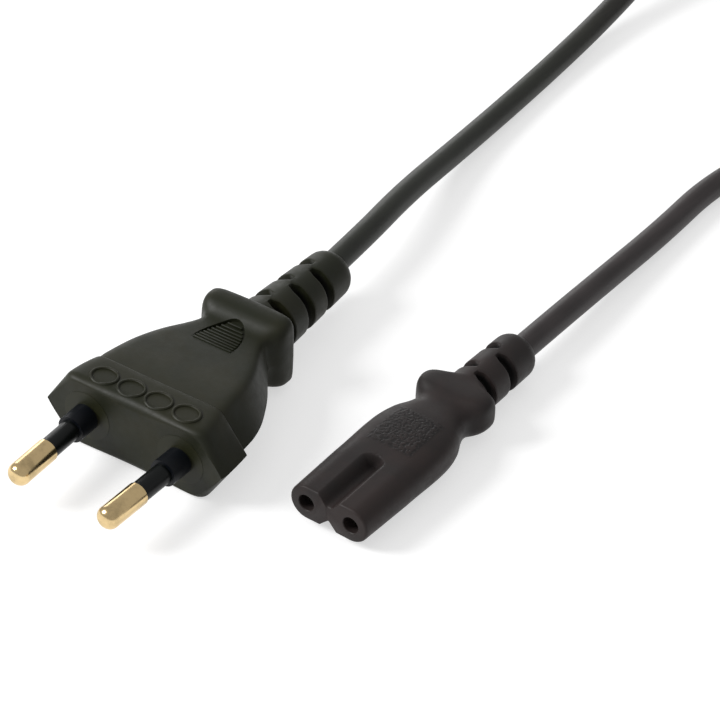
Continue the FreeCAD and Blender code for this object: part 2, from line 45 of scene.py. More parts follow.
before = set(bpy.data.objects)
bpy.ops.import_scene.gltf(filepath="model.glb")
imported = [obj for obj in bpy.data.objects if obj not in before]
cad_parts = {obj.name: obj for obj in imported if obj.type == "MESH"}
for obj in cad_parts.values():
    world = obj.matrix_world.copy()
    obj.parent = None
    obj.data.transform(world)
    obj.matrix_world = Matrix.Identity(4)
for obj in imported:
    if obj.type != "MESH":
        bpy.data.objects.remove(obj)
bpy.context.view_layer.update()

MM = 0.001
ROOT = "root"

# Places of the two mouldings, in millimetres and degrees
CON_LOW, CON_HIGH = (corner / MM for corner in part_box("connector_overmould"))
CON_FRONT = CON_LOW.y
CON_AXIS = (CON_LOW.z + CON_HIGH.z) / 2
PLUG_PLACE = Vector((-33.9, -34.6, 0.0))
PLUG_YAW = 2.5
PLUG_AXIS = 6.85

# The cord's route, in metres, from the connector and from the plug to the coil's tails
CONNECTOR_ROUTE = [
    (0.0, 0.0109, 0.0045),
    (0.0, 0.0339, 0.0045),
    (-0.0006, 0.0541, 0.0033),
    (-0.0010, 0.0741, 0.0023),
    (-0.0018, 0.0931, 0.0023),
    (0.0022, 0.1111, 0.0023),
    (0.0096, 0.1291, 0.0026),
    (0.0155, 0.1481, 0.0031),
    (0.0160, 0.1681, 0.0031),
]
PLUG_ROUTE = [
    (-0.035444, 0.000766, 0.00685),
    (-0.0377, 0.0306, 0.0072),
    (-0.0412, 0.0501, 0.0060),
    (-0.0442, 0.0701, 0.0032),
    (-0.0460, 0.0901, 0.0023),
    (-0.0475, 0.1101, 0.0023),
    (-0.0485, 0.1291, 0.0036),
    (-0.0488, 0.1481, 0.0077),
    (-0.0488, 0.1681, 0.0077),
]
COIL_CENTRE = (-0.0164, 0.1941)
COIL_RADII = (0.0324, 0.0278, 0.0232, 0.0186)
COIL_LOW = 0.0031
COIL_HIGH = 0.0077
COIL_POINTS = 16
COIL_SHIFT_START = 5  # point of a turn from which the cord moves over to the next turn
COIL_SHIFT_POINTS = 4

# The photograph's camera, in millimetres and degrees
CAMERA_PLACE = (190.07, -295.89, 288.1)
CAMERA_PITCH = 37.6
CAMERA_YAW = 34.67
CAMERA_ROLL = -2.6
CAMERA_PIXELS = 2781.13
IMAGE_PIXELS = 720
SENSOR = 36.0


# Sizes and colours

class CordSettings(bpy.types.PropertyGroup):
    """Size and colours of the cord"""

    diameter: FloatProperty(
        name="Diameter", description="Outer diameter of the sheath",
        default=0.0046, min=0.002, max=0.01, unit="LENGTH",
    )
    roundness: IntProperty(
        name="Roundness", description="How finely the round section is divided",
        default=10, min=4, max=24,
    )
    colour: FloatVectorProperty(
        name="Colour", description="Colour of the sheath", subtype="COLOR", size=3,
        default=(0.031, 0.025, 0.025), min=0.0, max=1.0,
    )
    # Colour of the painted shade on the cord near the plug, darker and greener than its own
    plug_end_shade_colour: FloatVectorProperty(
        name="Colour by the plug", description="Colour of the cord near the plug",
        subtype="COLOR", size=3, default=(0.014, 0.0155, 0.011), min=0.0, max=1.0,
    )


class ConnectorSettings(bpy.types.PropertyGroup):
    """Sizes and colour of the moulded connector"""

    lobe_radius: FloatProperty(
        name="Lobe radius", description="Radius of each lobe of the nose",
        default=0.0033, min=0.0025, max=0.0045, unit="LENGTH",
    )
    entry_radius: FloatProperty(
        name="Entry radius", description="Radius of each entry hole",
        default=0.00145, min=0.0012, max=0.002, unit="LENGTH",
    )
    colour: FloatVectorProperty(
        name="Colour", description="Colour of the moulded connector", subtype="COLOR", size=3,
        default=(0.0200, 0.0165, 0.0160), min=0.0, max=1.0,
    )


class PlugSettings(bpy.types.PropertyGroup):
    """The plug's grip and colours"""

    grip_ribs: IntProperty(
        name="Grip ribs", description="Ribs in the arched finger grip", default=9, min=3, max=14,
    )
    colour: FloatVectorProperty(
        name="Colour", description="Colour of the moulded plug", subtype="COLOR", size=3,
        default=(0.0115, 0.0135, 0.0055), min=0.0, max=1.0,
    )
    brass: FloatVectorProperty(
        name="Brass", description="Colour of the pins", subtype="COLOR", size=3,
        default=(0.76, 0.57, 0.30), min=0.0, max=1.0,
    )


class StageSettings(bpy.types.PropertyGroup):
    """The floor's look"""

    floor_tone: FloatProperty(
        name="Floor tone", description="Lightness of the floor", default=0.6, min=0.2, max=1.0,
        subtype="FACTOR",
    )


# Shader maths

class Shade:
    """A shader socket that takes part in sums, in one material's node tree."""

    def __init__(self, tree, socket=None):
        self.tree = tree
        self.socket = socket

    def node(self, kind, settings=None, inputs=None, output=0):
        """Adds a node, sets what it is first, fills its sockets and returns one output."""
        made = self.tree.nodes.new(kind)
        for name, value in (settings or {}).items():
            setattr(made, name, value)
        self.fill(made, inputs or {})
        return made if output is None else Shade(self.tree, made.outputs[output])

    def fill(self, node, inputs):
        """Links a node's sockets to shades, and sets those that are given plain values."""
        for key, value in inputs.items():
            if isinstance(value, Shade):
                self.tree.links.new(value.socket, node.inputs[key])
            else:
                node.inputs[key].default_value = value

    def sum(self, operation, *values):
        return self.node("ShaderNodeMath", {"operation": operation}, dict(enumerate(values)))

    def __add__(self, other):
        return self.sum("ADD", self, other)

    def __radd__(self, other):
        return self.sum("ADD", other, self)

    def __sub__(self, other):
        return self.sum("SUBTRACT", self, other)

    def __rsub__(self, other):
        return self.sum("SUBTRACT", other, self)

    def __mul__(self, other):
        return self.sum("MULTIPLY", self, other)

    def __rmul__(self, other):
        return self.sum("MULTIPLY", other, self)

    def within(self, low, high):
        """0 below low, 1 above high and smooth between them."""
        return self.node(
            "ShaderNodeMapRange", {"interpolation_type": "SMOOTHSTEP"},
            {"Value": self, "From Min": low, "From Max": high},
        )


# Materials

SATIN_SPECULAR = 0.25

# Places where a material changes, and pairs between which it does, in metres on the lead
# Painted shade in the strain reliefs' slots: near black deep inside, fading towards the surface
# and at both ends of the relief
SLOT_SHADE_FROM = 0.0031  # radius at which the shade in a relief's slots starts to fade
SLOT_SHADE_IN = 0.001  # length over which that shade comes along the relief
SLOT_SHADE_OUT = 0.0005  # and over which it goes
PAD_DEPTHS = (-0.0003, -0.0001)  # from the bridge's collars to its pads, behind the plug's face
PATCH_SIDE = (0.0040, 0.0046)  # the grained patch on the connector's top, across
PATCH_FRONT = (-0.0126, -0.0116)
PATCH_BACK = (-0.0030, -0.0022)
PATCH_HEIGHT = (0.0075, 0.0078)
# Painted shade on the cord near the plug: where it fades out across and along
PLUG_SHADE_SIDE = (-0.030, -0.010)  # from the plug's colour of the cord to its own, across
PLUG_SHADE_END = (0.10, 0.18)  # and along


def rgba(colour, gain=1.0):
    """A shader's colour, made lighter or darker."""
    return tuple(min(1.0, c * gain) for c in colour[:3]) + (1.0,)


def new_material(name):
    """An empty material with a principled shader; returns it, the shader node and a Shade."""
    material = bpy.data.materials.new(name)
    material.use_nodes = True
    material.node_tree.nodes.clear()
    shade = Shade(material.node_tree)
    surface = shade.node("ShaderNodeBsdfPrincipled")
    shade.node("ShaderNodeOutputMaterial", None, {"Surface": surface}, output=None)
    return material, surface.socket.node, shade


def noise(shade, scale, detail=3.0, roughness=0.55, stretch=(1.0, 1.0, 1.0)):
    """A noise pattern fixed to the lead, stretched along an axis where its factor is small."""
    place = shade.node("ShaderNodeTexCoord", output="Object")
    place = shade.node("ShaderNodeMapping", None, {"Vector": place, "Scale": stretch})
    return shade.node(
        "ShaderNodeTexNoise", None,
        {"Vector": place, "Scale": scale, "Detail": detail, "Roughness": roughness},
    )


def split(shade):
    """The three coordinates of the place on the lead, in metres."""
    place = shade.node("ShaderNodeTexCoord", output="Object")
    return [shade.node("ShaderNodeSeparateXYZ", None, {0: place}, output=axis) for axis in "XYZ"]


def slot_painted_shade(shade, relief, front, axis_height, turn=0.0, across=0.0):
    """1 where painted shade darkens the slots of a strain relief, and 0 elsewhere on its moulding.

    The moulding's front face lies at front and across on axes turned about Z, in metres.
    """
    x, y, z = split(shade)
    cos, sin = math.cos(turn), math.sin(turn)
    aside = x * cos + y * sin - across
    onward = y * cos - x * sin
    rise = z - axis_height
    radius = shade.sum("SQRT", aside * aside + rise * rise)
    inside = 1.0 - radius.within(SLOT_SHADE_FROM, relief["dark"] * MM)
    start = front + relief["start"] * MM
    end = front + (max(centre for centre, _ in relief["slots"]) + relief["width"]) * MM
    behind = onward.within(start, start + SLOT_SHADE_IN)
    return inside * behind * (1.0 - onward.within(end, end + SLOT_SHADE_OUT))


def colour_mix(shade, factor, first, second):
    """The mix of two colours, which are the node's sockets 6 and 7 and its output 2."""
    return shade.node(
        "ShaderNodeMix", {"data_type": "RGBA"}, {0: factor, 6: first, 7: second}, output=2,
    )


def bump(shade, height, strength, distance):
    """A normal that a pattern of heights tilts."""
    return shade.node(
        "ShaderNodeBump", None, {"Height": height, "Strength": strength, "Distance": distance},
        output="Normal",
    )


def warmed(colour):
    """The browner shade that worn black PVC shows in patches."""
    return (colour[0] * 1.45, colour[1] * 1.2, colour[2] * 1.15)


def moulded_pvc(name, colour, slots, patch=None):
    """Satin moulded PVC: a fine spark-eroded grain, browner clouding and rubbed patches.

    slots and patch are functions of the Shade: 1 where painted shade darkens the slots, 1 on a
    grained patch.
    """
    material, shader, shade = new_material(name)
    clouds = noise(shade, 110.0)
    rubbed = noise(shade, 520.0, detail=4.0, roughness=0.7)
    fine = noise(shade, 4200.0, detail=2.0, roughness=0.5)
    tone = clouds.within(0.38, 0.68) * 0.6 + rubbed.within(0.45, 0.75) * 0.25 + fine * 0.15
    base = colour_mix(shade, tone, rgba(colour, 0.8), rgba(warmed(colour)))
    height = fine * 0.3
    if patch:
        grained = patch(shade)
        spots = noise(shade, 1900.0, detail=1.0, roughness=0.4).within(0.36, 0.6) * grained
        base = colour_mix(shade, grained - spots * 0.8, base, rgba(colour, 0.45))
        height = height + spots * 1.4
    # Painted shade: near black deep inside the relief's slots, which are also made rougher there
    slot_shade = slots(shade)
    shade.fill(shader, {
        "Base Color": colour_mix(shade, slot_shade, base, rgba(colour, 0.08)),
        "Roughness": rubbed.within(0.3, 0.8) * 0.12 + slot_shade * 0.4 + 0.45,
        "Specular IOR Level": SATIN_SPECULAR,
        "Normal": bump(shade, height, strength=1.0, distance=0.00004),
    })
    return material


def glossy_plastic(name, colour, roughness=0.35, specular=0.4):
    """Hard glossy plastic with faint handling marks."""
    material, shader, shade = new_material(name)
    marks = noise(shade, 260.0, detail=2.0, roughness=0.5)
    base = colour_mix(shade, marks.within(0.35, 0.75), rgba(colour, 0.85), rgba(colour, 1.25))
    shade.fill(shader, {
        "Base Color": base,
        "Roughness": marks.within(0.4, 0.8) * 0.12 + roughness,
        "Specular IOR Level": specular,
        "Normal": bump(shade, marks, strength=0.05, distance=0.00005),
    })
    return material


def bridge_plastic(name, colour, pad_colour):
    """The bridge's dark collars; its pads, flush in the plug's face, have the plug's colour."""
    material, shader, shade = new_material(name)
    clouds = noise(shade, 260.0, detail=2.0, roughness=0.5)
    x, y, _ = split(shade)
    turn, front = plug_axes()
    depth = y * math.cos(turn) - x * math.sin(turn) - front.y
    dark = colour_mix(shade, clouds, rgba(colour, 0.8), rgba(colour, 1.3))
    plain = colour_mix(shade, clouds, rgba(pad_colour), rgba(warmed(pad_colour), 1.15))
    shade.fill(shader, {
        "Base Color": colour_mix(shade, depth.within(*PAD_DEPTHS), dark, plain),
        "Roughness": clouds * 0.1 + 0.4,
        "Specular IOR Level": SATIN_SPECULAR,
        "Normal": bump(shade, clouds, strength=0.05, distance=0.00005),
    })
    return material


def worn_metal(name, colour, roughness):
    """Drawn metal: fine lines along its length, faint tarnish and scuffs."""
    material, shader, shade = new_material(name)
    drawn = noise(shade, 900.0, roughness=0.6, stretch=(1.0, 0.06, 1.0))
    tarnish = noise(shade, 260.0, detail=4.0, roughness=0.6)
    base = colour_mix(shade, tarnish.within(0.42, 0.72), rgba(colour), rgba(colour, 0.66))
    scuffs = drawn * 0.14 + tarnish.within(0.4, 0.8) * 0.14
    shade.fill(shader, {
        "Base Color": base,
        "Metallic": 1.0,
        "Roughness": scuffs + (roughness - 0.08),
        "Normal": bump(shade, drawn, strength=0.08, distance=0.00003),
    })
    return material


def cord_sheath(name, colour, plug_shade_colour):
    """Extruded PVC sheath: satin, with faint draw lines, and painted shade that makes it darker
    and greener towards the plug.
    """
    material, shader, shade = new_material(name)
    drawn = noise(shade, 1100.0, roughness=0.6, stretch=(1.0, 0.05, 1.0))
    clouds = noise(shade, 140.0)
    tone = drawn.within(0.35, 0.7) * 0.5 + clouds.within(0.35, 0.7) * 0.5
    base = colour_mix(shade, tone, rgba(colour, 0.8), rgba(colour, 1.3))
    painted_shade = colour_mix(shade, tone, rgba(plug_shade_colour, 0.9), rgba(plug_shade_colour, 1.4))
    # Painted shade: the cord turns darker and greener near the plug
    x, y, _ = split(shade)
    plug_shade_mask = (1.0 - x.within(*PLUG_SHADE_SIDE)) * (1.0 - y.within(*PLUG_SHADE_END))
    shade.fill(shader, {
        "Base Color": colour_mix(shade, plug_shade_mask, base, painted_shade),
        "Roughness": clouds * 0.15 + 0.38,
        "Specular IOR Level": 0.35,
        "Normal": bump(shade, drawn, strength=0.25, distance=0.00003),
    })
    return material


def woven_tie(name, dark, light):
    """Matt woven band."""
    material, shader, shade = new_material(name)
    weave = noise(shade, 2600.0, detail=2.0, roughness=0.5, stretch=(1.0, 0.3, 1.0))
    shade.fill(shader, {
        "Base Color": colour_mix(shade, weave.within(0.35, 0.7), rgba(dark), rgba(light)),
        "Roughness": 0.8,
        "Normal": bump(shade, weave, strength=0.6, distance=0.0001),
    })
    return material


# Forms

SHARP_EDGE = math.radians(38.0)


def ease(low, high, value):
    """0 below low, 1 above high and smooth between them."""
    share = min(1.0, max(0.0, (value - low) / (high - low)))
    return share * share * (3.0 - 2.0 * share)


def along(stations, place):
    """Values of a table of stations at a place, on smooth curves through them."""
    if place <= stations[0][0]:
        return stations[0][1:]
    if place >= stations[-1][0]:
        return stations[-1][1:]
    last = next(i for i in range(1, len(stations)) if place <= stations[i][0])
    first = last - 1
    before = stations[max(first - 1, 0)]
    after = stations[min(last + 1, len(stations) - 1)]
    here, there = stations[first], stations[last]
    gap = there[0] - here[0]
    t = (place - here[0]) / gap
    values = []
    for i in range(1, len(here)):
        slope_in = (there[i] - before[i]) / (there[0] - before[0]) * gap
        slope_out = (after[i] - here[i]) / (after[0] - here[0]) * gap
        values.append(
            here[i] * (2 * t ** 3 - 3 * t ** 2 + 1) + slope_in * (t ** 3 - 2 * t ** 2 + t)
            + there[i] * (3 * t ** 2 - 2 * t ** 3) + slope_out * (t ** 3 - t ** 2)
        )
    return values


def steps(start, end, size):
    """Even steps of about a size from start towards end, which is left out."""
    count = max(1, round((end - start) / size))
    return [start + (end - start) * i / count for i in range(count)]


def rings(zones):
    """Places along a piece; each zone is start, end and step."""
    return [place for zone in zones for place in steps(*zone)]


def fan(zones):
    """Directions round a section, in radians; each zone is start, end and step in degrees."""
    return [math.radians(a) for start, end, step in zones for a in range(start, end, step)]


def skin(stations, turns, reach):
    """A closed skin through rings about the Y axis, one at each station.

    reach(place, c, s) gives a point's radius and its slide along Y, from the ring's place and
    the cosine and sine of the point's turn.
    """
    bm = bmesh.new()
    order = bm.verts.layers.int.new("order")
    ring = bmesh.ops.create_circle(bm, segments=len(turns), radius=1.0)["verts"]
    for i, vertex in enumerate(ring):
        vertex[order] = i
    edges = list(bm.edges)
    first = edges
    for count, place in enumerate(stations):
        if count:
            made = bmesh.ops.extrude_edge_only(bm, edges=edges)["geom"]
            ring = [g for g in made if isinstance(g, bmesh.types.BMVert)]
            edges = [g for g in made if isinstance(g, bmesh.types.BMEdge)]
        for vertex in ring:
            c, s = math.cos(turns[vertex[order]]), math.sin(turns[vertex[order]])
            radius, slide = reach(place, c, s)
            vertex.co = (radius * c, place + slide, radius * s)
    bmesh.ops.edgeloop_fill(bm, edges=first)
    bmesh.ops.edgeloop_fill(bm, edges=edges)
    bmesh.ops.recalc_face_normals(bm, faces=bm.faces)
    return bm


def spun(profile, segments):
    """A closed solid of revolution about the Y axis; profile is (radius, place) points."""
    bm = bmesh.new()
    verts = [bm.verts.new((radius, place, 0.0)) for radius, place in profile]
    edges = [bm.edges.new(pair) for pair in zip(verts, verts[1:])]
    bmesh.ops.spin(
        bm, geom=verts + edges, cent=(0, 0, 0), axis=(0, 1, 0), angle=2 * math.pi,
        steps=segments, use_merge=True, use_duplicate=False,
    )
    bmesh.ops.remove_doubles(bm, verts=bm.verts, dist=1e-4)
    bmesh.ops.recalc_face_normals(bm, faces=bm.faces)
    return bm


def rounded_block(size, place, bevel, segments=3):
    """A block with rounded edges, centred on a place."""
    bm = bmesh.new()
    bmesh.ops.create_cube(bm, size=1.0)
    bmesh.ops.scale(bm, vec=size, verts=bm.verts)
    bmesh.ops.bevel(
        bm, geom=bm.verts[:] + bm.edges[:], offset=bevel, segments=segments, profile=0.5,
        affect="EDGES", material=-1, clamp_overlap=True,
    )
    bmesh.ops.translate(bm, vec=place, verts=bm.verts)
    return bm


def joined(parts):
    """Several bmeshes made one; the parts are freed."""
    whole = bmesh.new()
    for part in parts:
        mesh = bpy.data.meshes.new("part")
        part.to_mesh(mesh)
        part.free()
        whole.from_mesh(mesh)
        bpy.data.meshes.remove(mesh)
    return whole


def plain_object(name, bm):
    """An object in the scene with the bmesh's shape; the bmesh is freed."""
    mesh = bpy.data.meshes.new(name)
    bm.to_mesh(mesh)
    bm.free()
    made = bpy.data.objects.new(name, mesh)
    bpy.context.scene.collection.objects.link(made)
    return made


def combined(bm, tools, operation="DIFFERENCE"):
    """The solid with the tools cut out of it, or joined to it."""
    body = plain_object("body", bm)
    tool = plain_object("tool", joined(tools))
    cut = body.modifiers.new("cut", "BOOLEAN")
    cut.operation = operation
    cut.solver = "EXACT"
    cut.object = tool
    graph = bpy.context.evaluated_depsgraph_get()
    mesh = bpy.data.meshes.new_from_object(body.evaluated_get(graph))
    result = bmesh.new()
    result.from_mesh(mesh)
    bpy.data.meshes.remove(mesh)
    for used in (body, tool):
        old = used.data
        bpy.data.objects.remove(used)
        bpy.data.meshes.remove(old)
    return result


def finished(name, bm, material, node, place=Matrix()):
    """A piece in metres, smooth but for its sharp edges, that stands for a node of the lead."""
    bmesh.ops.transform(bm, matrix=place, verts=bm.verts)
    bmesh.ops.scale(bm, vec=(MM, MM, MM), verts=bm.verts)
    for face in bm.faces:
        face.smooth = True
    for edge in bm.edges:
        edge.smooth = len(edge.link_faces) == 2 and edge.calc_face_angle(0.0) < SHARP_EDGE
    piece = plain_object(name, bm)
    piece.data.materials.append(material)
    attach(piece, ROOT)
    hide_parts(node)


def round_edge(depth, count):
    """Places and shrinkages of an edge rounded in count steps, from the face inwards."""
    turns = [math.pi / 2 * i / count for i in range(count + 1)]
    return [(depth * (1 - math.cos(t)), depth * (1 - math.sin(t))) for t in turns]


def plug_axes():
    """The plug's turn, in radians, and its front on axes turned with it, in metres."""
    turn = math.radians(PLUG_YAW)
    return turn, Matrix.Rotation(-turn, 3, "Z") @ PLUG_PLACE * MM


def plug_place():
    """Takes the plug's own axes, from its front on the surface, to the lead's."""
    return Matrix.Translation(PLUG_PLACE) @ Matrix.Rotation(math.radians(PLUG_YAW), 4, "Z")


# Strain reliefs

# Places along the moulding and radii; a slot is its middle and the side that it opens on. The
# painted shade in the slots has faded at the radius dark.
CON_RELIEF = {
    "start": 38.4, "end": 54.2, "root": 4.3, "tip": 4.1, "dome": 2.5, "core": 2.55, "dark": 4.0,
    "width": 1.9, "slots": ((39.7, 1), (46.0, 1), (41.7, -1), (48.1, -1)),
}
PLUG_RELIEF = {
    "start": 34.8, "end": 57.6, "root": 5.5, "tip": 4.35, "dome": 2.7, "core": 2.7, "dark": 4.4,
    "width": 1.9,
    "slots": ((37.0, 1), (43.1, 1), (49.2, 1), (38.9, -1), (45.0, -1), (51.1, -1)),
}

SLOT_EDGE = 0.1  # half the softness of a slot's edge
SLOT_WEB = 0.3  # half the web between the slots of the two sides
SLOT_RAMP = 0.3  # width over which a slot deepens beyond the web
SLOT_TAPER = 1.7  # width over which it spreads from its pointed end
SLOT_TIP = 0.4  # share of its width at that end
SLOT_ZONE = 1.9  # distance from its middle up to which the rings slide for that
BEAD_EDGE = 0.34  # width of the rounded rim beside a slot
BEAD_DROP = 0.2  # drop of that rim at the slot

RELIEF_GAP = 0.6  # usual gap between rings
SLOT_RINGS = (-0.45, -SLOT_EDGE, 0.0, SLOT_EDGE, 0.2, BEAD_EDGE)  # rings about a slot's edge
DOME_RINGS = 8  # steps round the domed end
RING_CLOSEST = 0.05  # a ring nearer than this to the one before is left out


def relief_reach(relief, place, c):
    """Radius of a slotted strain relief in a direction whose cosine is c, and the slide there.

    The slots end in points: near the web their two edges slide towards each other.
    """
    share = (place - relief["start"]) / (relief["end"] - relief["start"])
    plain = relief["root"] + (relief["tip"] - relief["root"]) * max(0.0, share)
    into = place - (relief["end"] - relief["dome"])
    if into > 0:
        plain -= relief["dome"] - math.sqrt(max(0.0, relief["dome"] ** 2 - into ** 2))
    half = relief["width"] / 2
    radius = plain
    slide = 0.0
    for centre, side in relief["slots"]:
        off = place - centre
        past = abs(off) - half
        opening = side * c * plain - SLOT_WEB
        if abs(off) < SLOT_ZONE:
            near = ease(-2 * SLOT_WEB, 0.0, opening) * (1.0 - ease(0.0, SLOT_TAPER, opening))
            outward = min(1.0, (SLOT_ZONE - abs(off)) / (SLOT_ZONE - half))
            slide -= off * (1.0 - SLOT_TIP) * near * outward * min(1.0, half / max(abs(off), half))
        if past < BEAD_EDGE:
            inside = 1.0 - ease(-SLOT_EDGE, SLOT_EDGE, past)
            drop = BEAD_DROP * (1.0 - max(0.0, past) / BEAD_EDGE) ** 2
            depth = drop + (plain - drop - relief["core"]) * inside
            radius -= depth * ease(0.0, SLOT_RAMP, opening)
    return radius, slide


def relief_stations(relief, after):
    """Rings behind a place, close together at each slot's edges and round the domed end."""
    top = relief["end"] - relief["dome"]
    places = set(steps(relief["start"], top, RELIEF_GAP))
    half = relief["width"] / 2
    for centre, _ in relief["slots"]:
        for past in SLOT_RINGS:
            places.update((centre - half - past, centre + half + past))
    turns = [math.pi / 2 * i / DOME_RINGS for i in range(DOME_RINGS + 1)]
    places.update(top + relief["dome"] * math.sin(turn) for turn in turns)
    kept = []
    for place in sorted(places):
        if not kept or place - kept[-1] > RING_CLOSEST:
            kept.append(place)
    kept[-1] = relief["end"]
    return [place for place in kept if place > after]


# Connector

CON_PITCH = 8.6  # between the middles of the two lobes
GROOVE_FLOOR = 1.4  # height of the groove's floor above the axis
GROOVE_FLOOR_HALF = 0.2
GROOVE_HALF = 2.3
NOTCH_TIP = 1.4  # depth of the notch's tip below the axis
NOTCH_HALF = 1.75
NOTCH_SOFT = 0.2  # rounding of that tip
NOSE_EDGE = 0.45  # rounding of the front
NOSE_DRAFT = 0.3  # growth of the lobes' radius along the nose
NOSE_END = 11.3  # where the groove and the notch start to end at their sides
NOSE_BOW = 1.2  # how much later they do so in the middle
NOSE_RAMP = 0.6  # length of their sloping end
BODY_START = NOSE_END - 2.0  # where the section starts to turn from the nose's into the body's
BODY_FULL = 19.0  # and where it has done so

ENTRY_DEPTH = 13.0
ENTRY_MOUTH = 0.1  # how much wider an entry hole is at its mouth
ENTRY_MOUTH_DEPTH = 0.12
ENTRY_CLEAR = 1.0  # reach of the cutter in front of the face
ENTRY_SIDES = 40
HALVINGS = 18  # steps that find where a ray meets the groove or the notch

# Directions round the section, closest at the sides of the groove and the notch
CON_FAN = (
    (0, 48, 3), (48, 74, 1), (74, 106, 2), (106, 132, 1), (132, 237, 3), (237, 249, 1),
    (249, 291, 2), (291, 303, 1), (303, 360, 3),
)

# Rings, closest where the groove ends and at the grip bar
GROOVE_ENDS = NOSE_END - 0.5
GROOVE_GONE = NOSE_END + NOSE_BOW + NOSE_RAMP
CON_RINGS = (
    (1.0, GROOVE_ENDS, 1.5), (GROOVE_ENDS, GROOVE_GONE, 0.12), (GROOVE_GONE, 24.0, 0.8),
    (24.0, 38.4, 0.3),
)

# Place, half width, half height above and below the axis, squareness above and below
CON_FORM = (
    (11.0, 7.60, 3.45, 3.45, 2.9, 2.9),
    (16.0, 7.65, 3.75, 3.75, 3.0, 3.0),
    (20.0, 7.65, 3.92, 3.90, 3.0, 3.0),
    (23.0, 7.45, 3.98, 3.90, 3.0, 3.0),
    (26.0, 6.75, 3.90, 3.80, 3.0, 3.0),
    (28.4, 5.65, 3.68, 3.60, 2.9, 2.8),
    (30.2, 5.15, 3.62, 3.50, 2.8, 2.6),
    (31.5, 5.45, 3.80, 3.50, 2.9, 2.4),
    (32.4, 6.25, 4.05, 3.60, 3.6, 2.3),
    (33.4, 6.90, 4.24, 3.70, 5.0, 2.2),
    (34.9, 7.10, 4.30, 3.80, 6.0, 2.2),
    (36.3, 6.85, 4.28, 3.80, 5.0, 2.2),
    (37.3, 5.80, 4.28, 3.90, 3.0, 2.2),
    (38.0, 4.50, 4.32, 4.20, 2.3, 2.1),
    (38.5, 4.30, 4.30, 4.30, 2.0, 2.0),
)


def struck(c, s, height, low, high):
    """Radius between two bounds at which a ray meets a profile of height over place across."""
    for _ in range(HALVINGS):
        middle = (low + high) / 2
        if middle * abs(s) < height(middle * abs(c)):
            low = middle
        else:
            high = middle
    return low


def nose_radius(c, s, lobe_radius):
    """Radius of the two lobes in a direction, and how deep the groove or notch cuts there."""
    lobe = CON_PITCH / 2

    def groove(x):
        share = ease(GROOVE_FLOOR_HALF, GROOVE_HALF, x)
        return GROOVE_FLOOR + (lobe_radius - GROOVE_FLOOR) * share

    def notch(x):
        share = min(1.0, math.hypot(x, NOTCH_SOFT) / NOTCH_HALF)
        return NOTCH_TIP + (lobe_radius - NOTCH_TIP) * share

    if lobe_radius * abs(c) >= lobe * abs(s):
        return lobe * abs(c) + math.sqrt(max(0.0, lobe_radius ** 2 - (lobe * s) ** 2)), 0.0
    flat = lobe_radius / abs(s)
    return flat, flat - struck(c, s, groove if s > 0 else notch, 0.0, flat)


def connector_reach(place, c, s, lobe_radius):
    """Radius of the connector in a direction, and the slide there."""
    if place > CON_FORM[-1][0]:
        return relief_reach(CON_RELIEF, place, c)
    wide, above, below, square_above, square_below = along(CON_FORM, place)
    tall, square = (above, square_above) if s > 0 else (below, square_below)
    body = (abs(c / wide) ** square + abs(s / tall) ** square) ** (-1.0 / square)
    drafted = lobe_radius + NOSE_DRAFT * (min(place, NOSE_END) / NOSE_END - 0.5)
    nose, depth = nose_radius(c, s, drafted)
    across = min(1.0, drafted * abs(c / s) / GROOVE_HALF) if depth else 1.0
    end = NOSE_END + NOSE_BOW * (1.0 - across ** 2)
    whole = nose + (body - nose) * ease(BODY_START, BODY_FULL, place)
    return whole - depth * (1.0 - ease(end, end + NOSE_RAMP, place)), 0.0


def connector_skin(lobe_radius):
    """The whole moulding, without its entry holes."""
    edge = dict(round_edge(NOSE_EDGE, 4))
    places = list(edge) + rings(CON_RINGS) + relief_stations(CON_RELIEF, CON_FORM[-1][0])

    def reach(place, c, s):
        radius, slide = connector_reach(place, c, s, lobe_radius)
        return radius - edge.get(place, 0.0), slide

    return skin(places, fan(CON_FAN), reach)


def entry_cutter(x, radius):
    """The entry hole with its softened mouth."""
    mouth = radius + ENTRY_MOUTH
    profile = [
        (0.0, -ENTRY_CLEAR), (mouth + ENTRY_CLEAR, -ENTRY_CLEAR), (mouth, 0.0),
        (radius, ENTRY_MOUTH_DEPTH), (radius, ENTRY_DEPTH), (0.0, ENTRY_DEPTH),
    ]
    cutter = spun(profile, ENTRY_SIDES)
    bmesh.ops.translate(cutter, vec=(x, 0.0, 0.0), verts=cutter.verts)
    return cutter


class LEAD_OT_connector(bpy.types.Operator):
    """Model the moulded connector"""

    bl_idname = "lead.connector"
    bl_label = "Connector"

    def execute(self, context):
        settings = context.scene.lead_connector
        entry = settings.entry_radius / MM
        cutters = [entry_cutter(side * CON_PITCH / 2, entry) for side in (-1, 1)]
        body = combined(connector_skin(settings.lobe_radius / MM), cutters)

        # Painted shade in the relief's slots, near black inside them
        def slots(shade):
            return slot_painted_shade(shade, CON_RELIEF, CON_FRONT * MM, CON_AXIS * MM)

        def patch(shade):
            x, y, z = split(shade)
            across = 1.0 - shade.sum("ABSOLUTE", x).within(*PATCH_SIDE)
            along_body = y.within(*PATCH_FRONT) * (1.0 - y.within(*PATCH_BACK))
            return across * along_body * z.within(*PATCH_HEIGHT)

        material = moulded_pvc("moulded connector", settings.colour, slots, patch)
        finished(
            "connector_skin", body, material, "connector_overmould",
            Matrix.Translation((0.0, CON_FRONT, CON_AXIS)),
        )
        return {"FINISHED"}


# Plug

# Directions round the section, closest at its corners above and below
PLUG_FAN = (
    (0, 24, 2), (24, 34, 1), (34, 146, 2), (146, 156, 1), (156, 204, 2), (204, 214, 1),
    (214, 326, 2), (326, 336, 1), (336, 360, 2),
)

